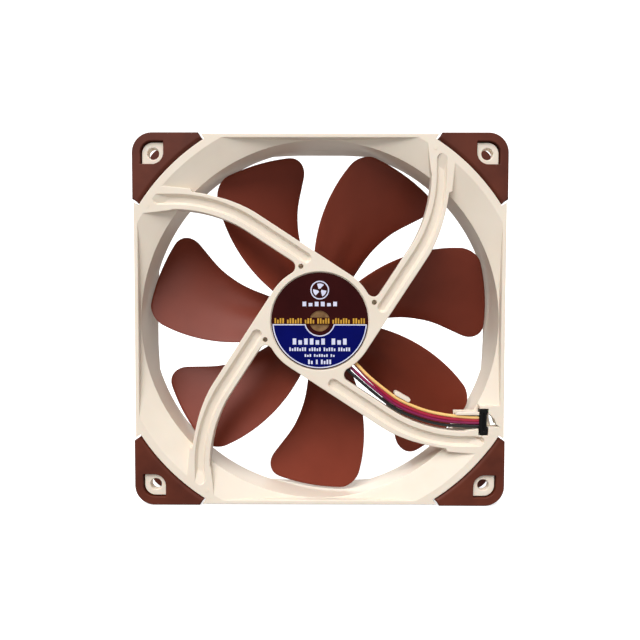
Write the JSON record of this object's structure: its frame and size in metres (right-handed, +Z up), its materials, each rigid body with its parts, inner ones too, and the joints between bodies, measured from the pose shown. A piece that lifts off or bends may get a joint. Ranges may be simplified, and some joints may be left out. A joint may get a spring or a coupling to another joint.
{
  "type": "case fan",
  "caption": "Square axial case fan with a moulded duct frame, curved struts, rubber corner pads, a central motor and a free-spinning bladed impeller.",
  "frame": {"origin": "on the shaft's axis, halfway through the frame's depth", "axes": "+X right and +Z up as the outlet side is looked at, -Y out of the outlet side (label side), +Y out of the inlet side"},
  "size_m": [0.14, 0.025, 0.14],
  "materials": {
    "cream_plastic": "satin, finely textured moulding",
    "brown_plastic": "satin moulding",
    "brown_rubber": "matt rubber",
    "label_film": "printed film, maroon over navy",
    "brass": "turned",
    "bronze": "sintered",
    "steel": "bright",
    "lamination": "stamped stack",
    "ferrite": "bonded magnet",
    "copper": "enamelled wire",
    "white_nylon": "moulded",
    "black_nylon": "moulded",
    "board": "solder mask",
    "yellow_pvc": "wire sheath",
    "red_pvc": "wire sheath",
    "crimson_pvc": "wire sheath",
    "black_pvc": "wire sheath"
  },
  "bodies": {
    "housing": {"bearing_bush": "bronze", "bearing_shell": "brass", "capacitor": "black_nylon", "circuit_board": "board", "coil_1": "copper", "coil_2": "copper", "coil_3": "copper", "coil_4": "copper", "driver_chip": "black_nylon", "frame": "cream_plastic", "front_pad_1": "brown_rubber", "front_pad_2": "brown_rubber", "front_pad_3": "brown_rubber", "front_pad_4": "brown_rubber", "hall_sensor": "black_nylon", "insulator_front": "white_nylon", "insulator_rear": "white_nylon", "label": "label_film", "oil_seal": "black_nylon", "rear_pad_1": "brown_rubber", "rear_pad_2": "brown_rubber", "rear_pad_3": "brown_rubber", "rear_pad_4": "brown_rubber", "retaining_ring": "white_nylon", "stabilising_magnet": "ferrite", "stator_core": "lamination", "strain_relief": "black_nylon", "thrust_cap": "white_nylon", "wire_black": "black_pvc", "wire_crimson": "crimson_pvc", "wire_red": "red_pvc", "wire_yellow": "yellow_pvc"},
    "rotor": {"impeller": "brown_plastic", "hub_badge": "brown_plastic", "rotor_yoke": "steel", "rotor_magnet": "ferrite", "shaft": "steel", "shaft_bush": "brass"}
  },
  "joints": [
    {"name": "impeller_spin", "type": "hinge", "parent": "housing", "child": "rotor", "pos_m": [0, 0, 0], "axis": [0, 1, 0], "continuous": true}
  ]
}
